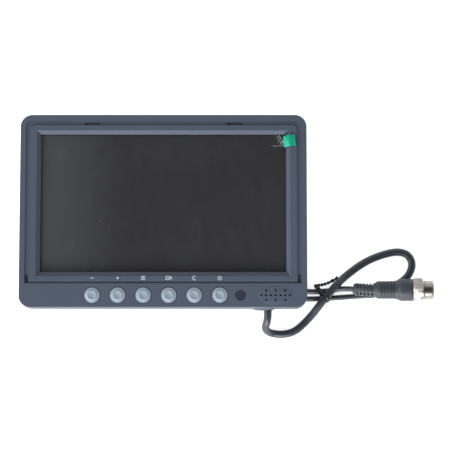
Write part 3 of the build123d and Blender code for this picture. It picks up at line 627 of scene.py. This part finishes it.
# ---- Operators: one for each piece or group of like pieces ----
class MONITOR_OT_stage(bpy.types.Operator):
    """Makes the camera, the soft lights and the pale floor"""

    bl_idname = "monitor.stage"
    bl_label = "Stage"

    def execute(self, context):
        settings = context.scene.monitor_stage
        camera = bpy.data.objects.new("camera", bpy.data.cameras.new("camera"))
        back = Vector((0, -cos(CAMERA_TILT), sin(CAMERA_TILT)))
        camera.location = VIEW_MIDDLE + back * settings.distance
        camera.rotation_euler = (pi / 2 - CAMERA_TILT, 0, 0)
        camera.data.sensor_width = SENSOR_WIDTH
        camera.data.lens = SENSOR_WIDTH * settings.distance / VIEW_WIDTH
        camera.data.clip_start = 0.05
        camera.data.clip_end = 50
        context.scene.collection.objects.link(camera)
        context.scene.camera = camera
        context.scene.view_settings.view_transform = "Standard"

        self.lamp(context, "key_light", settings.key_power, **KEY_LIGHT)
        self.lamp(context, "side_light", settings.side_power, **SIDE_LIGHT)
        self.surroundings(context, settings.sky)
        self.floor(context)
        return {"FINISHED"}

    def lamp(self, context, name, power, place, width, height):
        light = bpy.data.lights.new(name, "AREA")
        light.shape = "RECTANGLE"
        light.size = width
        light.size_y = height
        light.energy = power
        made = bpy.data.objects.new(name, light)
        made.location = place
        made.rotation_euler = (-Vector(place)).to_track_quat("-Z", "Y").to_euler()
        made.visible_camera = False
        context.scene.collection.objects.link(made)

    def surroundings(self, context, strength):
        """A room brighter at the front and left, dim overhead, and pale where it shows."""
        world = bpy.data.worlds.new("room")
        context.scene.world = world
        r = Recipe(world)
        way = r.node("ShaderNodeTexCoord", output="Generated")
        right, back, height = (r.part_of(way, letter) for letter in "XYZ")
        sides = r.level(back, -0.9, 0.7, 0.85, 1.3) * r.level(right, -1, 1, 1.2, 0.8)
        zenith = r.level(height, 0.6, 0.96) * r.level(right, -0.16, -0.03, 0.7, 0.93)
        light = r.node("ShaderNodeBackground", None, {"Strength": sides * (1 - zenith) * strength})
        pale = r.node("ShaderNodeBackground", None, {"Color": (1, 1, 1, 1), "Strength": 1.0})
        seen = r.node("ShaderNodeLightPath", output="Is Camera Ray")
        shown = r.node("ShaderNodeMixShader", None, {0: seen, 1: light, 2: pale})
        r.out(shown, "ShaderNodeOutputWorld")

    def floor(self, context):
        mesh = bmesh.new()
        bmesh.ops.create_grid(mesh, x_segments=24, y_segments=24, size=FLOOR_REACH)
        data = bpy.data.meshes.new("floor")
        mesh.to_mesh(data)
        mesh.free()
        r = recipe("pale_floor")
        drift = r.cloud(0.4, 2)
        r.finish(
            Base_Color=r.mixed(drift, (0.86, 0.86, 0.87), (0.9, 0.9, 0.9)),
            Roughness=0.8,
            Specular_IOR_Level=0.2,
            Emission_Color=(1, 1, 1),
            Emission_Strength=FLOOR_GLOW,
        )
        data.materials.append(r.owner)
        made = bpy.data.objects.new("floor", data)
        made.location.z = min(CAD_LOW.z, 0) - FLOOR_GAP
        context.scene.collection.objects.link(made)


class MONITOR_OT_leads(bpy.types.Operator):
    """Runs the thick lead from the case and the thin lead to the connector"""

    bl_idname = "monitor.leads"
    bl_label = "Leads"

    def execute(self, context):
        settings = context.scene.monitor_lead
        jacket = lead_jacket(settings.vinyl)
        lead_curve("thick_lead", THICK_ROUTE, settings.thick, jacket, "pigtail_lead")
        lead_curve("thin_lead", THIN_ROUTE, settings.thin, jacket, "connector_lead")
        return {"FINISHED"}


class MONITOR_OT_joint(bpy.types.Operator):
    """Moulds the joint between the thick lead and the thin one"""

    bl_idname = "monitor.joint"
    bl_label = "Moulded joint"

    def execute(self, context):
        start = Vector(THICK_ROUTE[-1])
        way = Vector(THIN_ROUTE[0]) - start
        way.z = 0
        way.normalize()
        full, cut, off_floor = 3.0, 2.75, 0.05
        profile = [(-0.9, 2.55), (-0.85, 2.8), (-0.5, 2.95), (0, full)]
        for at in (1.4, 2.4, 3.4):
            profile += [(at, full), (at + 0.1, cut), (at + 0.4, cut), (at + 0.5, full)]
        profile += [(5.2, 2.95), (6.6, 2.6), (8.0, 2.2), (8.9, 1.95), (9.2, 1.72)]
        mesh = bmesh.new()
        rings = []
        for run, radius in profile:
            centre = start + way * run * MM
            centre.z = ((full if 0 <= run < 5 else radius) + off_floor) * MM
            rings.append(hoop(centre, way, UP, [radius * MM] * 32))
        skin(mesh, rings)
        rubber = boot_rubber(context.scene.monitor_lead.rubber)
        piece("splice_sleeve", mesh, rubber, stands_for=["lead_joint"])
        return {"FINISHED"}


class MONITOR_OT_connector(bpy.types.Operator):
    """Moulds the connector's boot with its slotted relief, and turns its plated shell"""

    bl_idname = "monitor.connector"
    bl_label = "Connector"

    def execute(self, context):
        settings = context.scene.monitor_lead
        self.axis = middle("connector_shell")
        self.boot(boot_rubber(settings.rubber))
        self.shell(plated_metal(settings.metal))
        black = plain_moulding("insert_black", paint(30, 30, 33), 0.4)
        paint_node("connector_insert", black)
        gold = plated_metal(paint(214, 178, 104), "contact_gold", 0.18)
        paint_node("connector_contacts", gold)
        return {"FINISHED"}

    def across(self, x, radii):
        """A ring of points across the connector's axis."""
        centre = Vector((x * MM, self.axis.y, self.axis.z))
        return hoop(centre, Vector((1, 0, 0)), UP, [radius * MM for radius in radii])

    def boot(self, rubber):
        mesh = bmesh.new()
        skin(mesh, self.relief() + self.body())
        name = "connector_boot_moulding"
        piece(name, mesh, rubber, stands_for=["connector_boot"])

    def gap(self, full):
        """Radii round a gap of the relief: shallow at the far side, and deep in two windows."""
        radii = []
        for i in range(ROUND_STEPS):
            turn = (360 * i / ROUND_STEPS + 180) % 360 - 180
            if 34 < turn < 64 or 100 < turn < 150:
                radii.append(CORE_R)
            else:
                radii.append(full - 0.8 if -170 < turn < -12 else full - 0.12)
        return radii

    def relief(self):
        """The toothed strain relief, bent from the end of the lead onto the connector's axis."""
        head = Vector((RELIEF_END_X * MM, self.axis.y, self.axis.z))
        chord = RELIEF_START - head
        corner = head + Vector((-1, 0, 0)) * (chord.length_squared / (-2 * chord.x))
        marks = [(0.0, circle(3.3)), (0.15, circle(3.75)), (0.4, circle(3.9))]
        at = 2.5
        for i in range(RELIEF_TEETH):
            full = 3.95 + 0.07 * i
            gap, tooth = self.gap(full), circle(full)
            marks += [(at, tooth), (at + 0.06, gap), (at + 0.94, gap), (at + 1.0, tooth)]
            at += TOOTH_PITCH
        rings = []
        for place, radii in marks:
            share = place / RELIEF_LENGTH
            centre = along(RELIEF_START, corner, head, share)
            ahead = along(RELIEF_START, corner, head, min(share + 0.02, 1))
            before = along(RELIEF_START, corner, head, share - 0.02)
            rings.append(hoop(centre, ahead - before, UP, [r * MM for r in radii]))
        return rings

    def body(self):
        """The round body: it swells from the relief, has five grooves, and ends in a collar."""
        line = [(134.3, 4.4), (134.9, 4.75), (135.5, 5.2), (136.3, 5.55), (137.1, BOOT_R)]
        groove = [(-0.34, BOOT_R), (-0.12, GROOVE_R), (0.12, GROOVE_R), (0.34, BOOT_R)]
        for at in (138.6, 140.6, 142.6, 144.7, 146.3):
            line += [(at + run, radius) for run, radius in groove]
        line += [(147.4, BOOT_R), (148.4, 5.82), (149.1, 6.15), (149.7, 6.55), (150.3, 6.9)]
        line += [(151.2, COLLAR_R), (157.6, COLLAR_R), (158.2, 6.95), (158.55, 6.7)]
        line.append((BOOT_END, 6.2))
        rings = []
        for x, radius in line:
            radii = circle(radius)
            for side in (ROUND_STEPS // 4, 3 * ROUND_STEPS // 4):
                radii[side] += MOULD_SEAM
            rings.append(self.across(x, radii))
        return rings

    def shell(self, metal):
        """A hexagon with chamfered corners, a neck, and a hollow barrel with a rounded nose."""
        stations = [(BOOT_END, circle(5.6)), (BOOT_END, circle(6.9)), (158.95, circle(7.1))]
        stations += [(159.2, self.hexagon(7.3)), (160.1, self.hexagon(8.3))]
        stations += [(163.9, self.hexagon(8.3)), (164.8, self.hexagon(7.35))]
        turned = [(164.95, 7.0), (165.1, BARREL_R), (165.25, 5.65), (165.75, 5.6), (165.95, 5.95)]
        turned += [(166.2, BARREL_R), (170.4, BARREL_R), (170.95, 6.02), (171.4, 5.8), (171.7, 5.5)]
        turned += [(171.85, 5.2), (171.85, 4.95), (171.6, SOCKET_R), (159.0, SOCKET_R)]
        stations += [(x, circle(radius)) for x, radius in turned]
        mesh = bmesh.new()
        skin(mesh, [self.across(x, radii) for x, radii in stations], joined=True)
        stands_for = ["connector_shell"]
        piece("connector_ring", mesh, metal, stands_for=stands_for, smooth=28)

    def hexagon(self, limit):
        """Radii round the hexagon, a corner at the top, with its corners cut at limit."""
        radii = []
        for i in range(ROUND_STEPS):
            turn = (360 * i / ROUND_STEPS + 30) % 60 - 30
            radii.append(min(HEXAGON_FLAT / cos(radians(30 - abs(turn))), limit))
        return radii


class MONITOR_OT_tie(bpy.types.Operator):
    """Loops a twist tie round the leads and twists its two tails"""

    bl_idname = "monitor.tie"
    bl_label = "Twist tie"

    def execute(self, context):
        mesh = bmesh.new()
        self.strap(mesh)
        self.tails(mesh)
        black = plain_moulding("tie_black", paint(30, 32, 37), 0.16)
        piece("twist_tie", mesh, black, stands_for=["cable_tie"], smooth=50)
        return {"FINISHED"}

    def strap(self, mesh):
        """A ribbon with a wire along its middle, snug round the two thin runs and the thick one."""
        outward = Vector((0.661, -0.750, 0))
        width_way = Vector((0.750, 0.661, 0))
        line = [(-6.3, 2.8), (-5.4, 4.6), (-3.2, 6.4), (-0.6, 8.4), (1.4, 9.75), (3.3, 10.25)]
        line += [(4.9, 9.6), (5.9, 8.0), (6.1, 6.3), (5.75, 4.3), (5.45, 2.2), (5.1, 1.0)]
        line += [(4.2, 0.48), (0, 0.42), (-3.4, 0.46), (-4.9, 0.8), (-5.9, 1.6)]
        section = [(-1.5, 0.08), (-0.4, 0.1), (0, 0.36), (0.4, 0.1), (1.5, 0.08)]
        section += [(1.5, -0.08), (0.4, -0.1), (0, -0.16), (-0.4, -0.1), (-1.5, -0.08)]
        rings = []
        for i, (u, z) in enumerate(line):
            before = line[i - 1]
            after = line[(i + 1) % len(line)]
            way = Vector((after[0] - before[0], after[1] - before[1]))
            way.normalize()
            centre = TIE_PLACE + outward * u * MM + UP * z * MM
            out = outward * -way.y + UP * way.x
            rings.append([centre + (width_way * w + out * t) * MM for w, t in section])
        skin(mesh, rings, joined=True)

    def tails(self, mesh):
        """Two wires wound round each other, from the loop's left end along the thick lead."""
        path = [mm(97.4, -46.2, 3.0), mm(96.6, -45.9, 3.8), mm(99.5, -45.6, 4.8)]
        path += [mm(103.2, -44.9, 5.2), mm(107.3, -43.1, 4.8), mm(111.6, -40.5, 4.2)]
        count = 60
        stops = []
        for i in range(count + 1):
            run = i / count * (len(path) - 2)
            k = min(int(run), len(path) - 3)
            first = (path[k] + path[k + 1]) / 2 if k else path[0]
            last = (path[k + 1] + path[k + 2]) / 2 if k < len(path) - 3 else path[-1]
            stops.append(along(first, path[k + 1], last, run - k))
        for phase in (0, pi):
            rings = []
            for i, stop in enumerate(stops):
                way = (stops[min(i + 1, count)] - stops[max(i - 1, 0)]).normalized()
                side = way.cross(UP).normalized()
                turn = phase + 2 * pi * WIRE_TURNS * i / count
                offset = (side * cos(turn) + side.cross(way) * sin(turn)) * (WIRE_FROM_MIDDLE * MM)
                rings.append(hoop(stop + offset, way, UP, [WIRE_R * MM] * 8))
            skin(mesh, rings)


class MONITOR_OT_lead_facts(bpy.types.Operator):
    """An empty step: it does nothing"""

    bl_idname = "monitor.lead_facts"
    bl_label = "Lead facts"

    def execute(self, context):
        return {"FINISHED"}


class MONITOR_OT_case(bpy.types.Operator):
    """Gives the case, its fixings and the pieces inside it their finishes"""

    bl_idname = "monitor.case"
    bl_label = "Case"

    def execute(self, context):
        settings = context.scene.monitor_case
        shell = case_plastic(settings.plastic, settings.grain)
        for node in ("front_frame", "rear_cover"):
            paint_node(node, shell)
        paint_node("ir_window", tinted_window())
        paint_node("mount_inserts", plated_metal(paint(205, 170, 100), "brass", 0.25))
        paint_node("cable_gland", lead_jacket(context.scene.monitor_lead.vinyl, "gland_rubber"))
        steel = plated_metal(paint(150, 152, 156), "screw_steel", 0.3)
        for node in ("board_screws", "key_board_screws"):
            paint_node(node, steel)
        green = circuit_board()
        for node in ("main_board", "key_board"):
            paint_node(node, green)
        plain = {
            "screen_gasket": ("foam_black", paint(22, 22, 24), 0.8),
            "backlight_unit": ("light_guide", paint(226, 228, 226), 0.35),
            "switch_bodies": ("switch_black", paint(26, 26, 28), 0.45),
            "board_chips": ("chip_black", paint(28, 29, 31), 0.5),
            "board_sockets": ("socket_white", paint(218, 214, 200), 0.45),
            "ir_receiver": ("receiver_black", paint(18, 16, 20), 0.25),
            "speaker_frame": ("basket_black", paint(34, 35, 38), 0.4),
            "speaker_cone": ("cone_paper", paint(52, 48, 44), 0.8),
            "lcd_ribbon": ("ribbon_amber", paint(170, 96, 30), 0.3),
            "key_cable": ("ribbon_white", paint(214, 214, 208), 0.45),
            "lead_wires": ("wire_red", paint(150, 24, 22), 0.35),
            "speaker_wires": ("wire_black", paint(24, 24, 26), 0.35),
        }
        for node, (name, colour, rough) in plain.items():
            paint_node(node, plain_moulding(name, colour, rough))
        paint_node("speaker_cloth", fine_cloth())
        bright = plated_metal(paint(176, 178, 180), "sheet_steel", 0.35)
        for node in ("lcd_frame", "speaker_magnet"):
            paint_node(node, bright)
        return {"FINISHED"}


class MONITOR_OT_keys(bpy.types.Operator):
    """Finishes the keys and prints a plain sign over each"""

    bl_idname = "monitor.keys"
    bl_label = "Keys and their signs"

    def execute(self, context):
        settings = context.scene.monitor_case
        cap = key_plastic(settings.key)
        stem = plain_moulding("stem_white", paint(206, 206, 200), 0.4)
        names = ("minus", "plus", "menu", "camera", "mode", "power")
        for name in names:
            paint_node(f"{name}_button", cap)
            paint_node(f"{name}_stem", stem)
        ring = [(cos(radians(a)), sin(radians(a))) for a in range(0, 361, 15)]
        signs = {
            "minus": [[(-0.9, 0), (0.9, 0)]],
            "plus": [[(-0.9, 0), (-0.2, 0)], [(0.2, 0), (0.9, 0)], [(0, -0.9), (0, 0.9)]],
            "menu": [[(-1.3, y), (1.3, y)] for y in (-0.95, 0, 0.95)],
            "camera": [
                [(-1.7, -0.85), (0.5, -0.85), (0.5, 0.85), (-1.7, 0.85), (-1.7, -0.85)],
                [(0.95, 0), (1.75, 0.75), (1.75, -0.75), (0.95, 0)],
            ],
            "mode": [
                [(x * 1.05, y * 1.05) for x, y in ring[3:22]],
                [(0.1, -1.5), (0.75, -1.0), (0.05, -0.6)],
            ],
            "power": [
                [(x * 1.1, y * 1.1 - 0.1) for x, y in ring[8:] + ring[1:5]],
                [(0, 0.1), (0, 1.3)],
            ],
        }
        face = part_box("ir_window")[1].z + SIGN_OFF_FACE
        mesh = bmesh.new()
        for name in names:
            key = middle(f"{name}_button")
            centre = Vector((key.x, key.y + SIGN_ABOVE_KEY, face))
            for line in signs[name]:
                self.stroke(mesh, centre, line)
        piece("key_signs", mesh, printed_mark(settings.mark))
        return {"FINISHED"}

    def stroke(self, mesh, centre, line):
        """One printed line of a sign, a little proud of the face."""
        section = [(-1, 0), (1, 0), (1, STROKE_PROUD), (-1, STROKE_PROUD)]
        closed = line[0] == line[-1]
        rings = []
        for i, (x, y) in enumerate(line):
            before = line[i - 1] if i else (line[-2] if closed else line[0])
            after = line[i + 1] if i + 1 < len(line) else (line[1] if closed else line[-1])
            into = Vector((x - before[0], y - before[1]))
            away = Vector((after[0] - x, after[1] - y))
            into = into.normalized() if into.length else away.normalized()
            away = away.normalized() if away.length else into
            way = (into + away).normalized()
            reach = STROKE_HALF / max(way.dot(away), 0.5)
            side = Vector((-way.y, way.x)) * reach
            rings.append([centre + mm(x + side.x * s, y + side.y * s, z) for s, z in section])
        skin(mesh, rings)


class MONITOR_OT_screen(bpy.types.Operator):
    """Finishes the screen, lays the clear film on it and folds its pull tab over the edge"""

    bl_idname = "monitor.screen"
    bl_label = "Screen, film and tab"

    def execute(self, context):
        settings = context.scene.monitor_screen
        paint_node("lcd_glass", switched_off_glass(settings.glass))
        self.film()
        self.tab(tab_polyester(settings.tab, settings.tab_light))
        return {"FINISHED"}

    def lift(self, x, y):
        """How far the film stands off the glass at a point, all in millimetres."""
        right = (x - LIFT_PLACE[0]) / LIFT_SPREAD
        up = (y - LIFT_PLACE[1]) / LIFT_SPREAD
        near = pow(FALL_OFF, -(right**2) - up**2)
        folds = sin((x * 0.86 + y * 0.5) * 2.6) * 0.3 + sin((x * 0.4 - y * 0.9) * 3.9) * 0.12
        crease = pow(FALL_OFF, -(((y - 42.1) / 0.45) ** 2)) * max(0, min(1, (x - 65) / 9)) * 0.45
        rest = 0.03 * noise.noise((x * 0.05, y * 0.05, 3)) + 0.02
        return rest + near * (0.75 + folds) + crease

    def film(self):
        low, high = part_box("protective_film")
        mesh = bmesh.new()
        xs = [low.x + (high.x - low.x) * i / 60 for i in range(50)]
        xs += [xs[-1] + (high.x - xs[-1]) * i / 70 for i in range(1, 71)]
        ys = [low.y + (high.y - low.y) * i / 40 for i in range(34)]
        ys += [ys[-1] + (high.y - ys[-1]) * i / 60 for i in range(1, 61)]
        rows = [
            [mesh.verts.new((x, y, low.z + self.lift(x / MM, y / MM) * MM)) for x in xs] for y in ys
        ]
        for near, far in zip(rows, rows[1:]):
            for i in range(len(xs) - 1):
                mesh.faces.new((near[i], near[i + 1], far[i + 1], far[i]))
        finish = cling_film()
        stands_for = ["protective_film"]
        made = piece("screen_film", mesh, finish, stands_for=stands_for)
        thick = made.modifiers.new("thickness", "SOLIDIFY")
        thick.thickness = 0.00006
        thick.offset = 1

    def tab(self, finish):
        line = [(76.4, 22.95), (76.9, 24.0), (77.8, 25.4), (78.8, 26.45), (79.9, 26.95)]
        line += [(81.0, 26.95), (82.1, 26.75), (83.0, 26.6), (83.8, 26.75)]
        mesh = bmesh.new()
        rows = []
        for x, z in line:
            row = []
            for y in (41.2, 43.0, 44.8, 46.7, 48.5):
                off = Vector((x, y)) - TAB_MIDDLE
                turned_x = TAB_MIDDLE.x + off.x * cos(TAB_TURN) - off.y * sin(TAB_TURN)
                turned_y = TAB_MIDDLE.y + off.x * sin(TAB_TURN) + off.y * cos(TAB_TURN)
                bow = 0.25 * cos((y - TAB_MIDDLE.y) * 0.4)
                row.append(mesh.verts.new(mm(turned_x, turned_y, z + bow)))
            rows.append(row)
        for near, far in zip(rows, rows[1:]):
            for i in range(4):
                mesh.faces.new((near[i], near[i + 1], far[i + 1], far[i]))
        stands_for = ["film_pull_tab"]
        made = piece("pull_tab", mesh, finish, stands_for=stands_for, smooth=80)
        round_off = made.modifiers.new("smooth", "SUBSURF")
        round_off.levels = round_off.render_levels = 2
        thick = made.modifiers.new("thickness", "SOLIDIFY")
        thick.thickness = 0.0001


class MONITOR_OT_screws(bpy.types.Operator):
    """Turns the six case screws with their cross recesses"""

    bl_idname = "monitor.screws"
    bl_label = "Case screws"

    def execute(self, context):
        foot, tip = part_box("case_screws")
        mesh = bmesh.new()
        for x, y in SCREW_PLACES:
            self.screw(mesh, mm(x, y, 0), foot.z, tip.z)
        steel = plated_metal(paint(96, 97, 102), "black_zinc", 0.34)
        piece("cross_head_screws", mesh, steel, stands_for=["case_screws"])
        return {"FINISHED"}

    def screw(self, mesh, centre, foot, tip):
        """A domed head with a cross recess, its underside, and a plain shank up to the tip."""
        steps = 48

        def cross(arm, half):
            """Radii round a cross with arms that reach arm and are twice half wide."""
            radii = []
            for i in range(steps):
                turn = (360 * i / steps + 45) % 90 - 45
                reach = arm / cos(radians(turn))
                side = half / max(abs(sin(radians(turn))), 0.01)
                radii.append(min(reach, side))
            return radii

        up = Vector((0, 1, 0))
        profile = [(1.15, cross(0.7, 0.2)), (0.05, cross(1.35, 0.36)), (0.0, cross(1.42, 0.42))]
        profile += [(0.02, [1.85] * steps), (0.3, [2.25] * steps), (0.7, [2.45] * steps)]
        profile += [(1.1, [2.5] * steps), (1.5, [2.5] * steps), (1.5, [1.3] * steps)]
        rings = [
            hoop(centre + UP * (foot + depth * MM), UP, up, [r * MM for r in radii])
            for depth, radii in profile
        ]
        rings.append(hoop(centre + UP * tip, UP, up, [1.1 * MM] * steps))
        skin(mesh, rings)


class MONITOR_PT_panel(bpy.types.Panel):
    """Lists the sizes, colours and steps of the monitor"""

    bl_idname = "MONITOR_PT_panel"
    bl_label = "Rear-view monitor"
    bl_space_type = "VIEW_3D"
    bl_region_type = "UI"
    bl_category = "Monitor"

    def draw(self, context):
        scene = context.scene
        for group in ("monitor_case", "monitor_screen", "monitor_lead", "monitor_stage"):
            box = self.layout.box()
            settings = getattr(scene, group)
            for name in settings.bl_rna.properties.keys():
                if name not in ("rna_type", "name"):
                    box.prop(settings, name)
        for step in STEPS:
            self.layout.operator(step.bl_idname)


SETTINGS = {
    "monitor_case": CaseSettings,
    "monitor_screen": ScreenSettings,
    "monitor_lead": LeadSettings,
    "monitor_stage": StageSettings,
}
STEPS = [
    MONITOR_OT_stage,
    MONITOR_OT_leads,
    MONITOR_OT_joint,
    MONITOR_OT_connector,
    MONITOR_OT_tie,
    MONITOR_OT_lead_facts,
    MONITOR_OT_case,
    MONITOR_OT_keys,
    MONITOR_OT_screen,
    MONITOR_OT_screws,
]


def register():
    for group in SETTINGS.values():
        bpy.utils.register_class(group)
    for name, group in SETTINGS.items():
        setattr(bpy.types.Scene, name, PointerProperty(type=group))
    for step in STEPS:
        bpy.utils.register_class(step)
    bpy.utils.register_class(MONITOR_PT_panel)


def unregister():
    bpy.utils.unregister_class(MONITOR_PT_panel)
    for step in reversed(STEPS):
        bpy.utils.unregister_class(step)
    for name in SETTINGS:
        delattr(bpy.types.Scene, name)
    for group in reversed(SETTINGS.values()):
        bpy.utils.unregister_class(group)


def main():
    register()
    for step in STEPS:
        group, name = step.bl_idname.split(".")
        getattr(getattr(bpy.ops, group), name)()


if __name__ == "__main__":
    main()
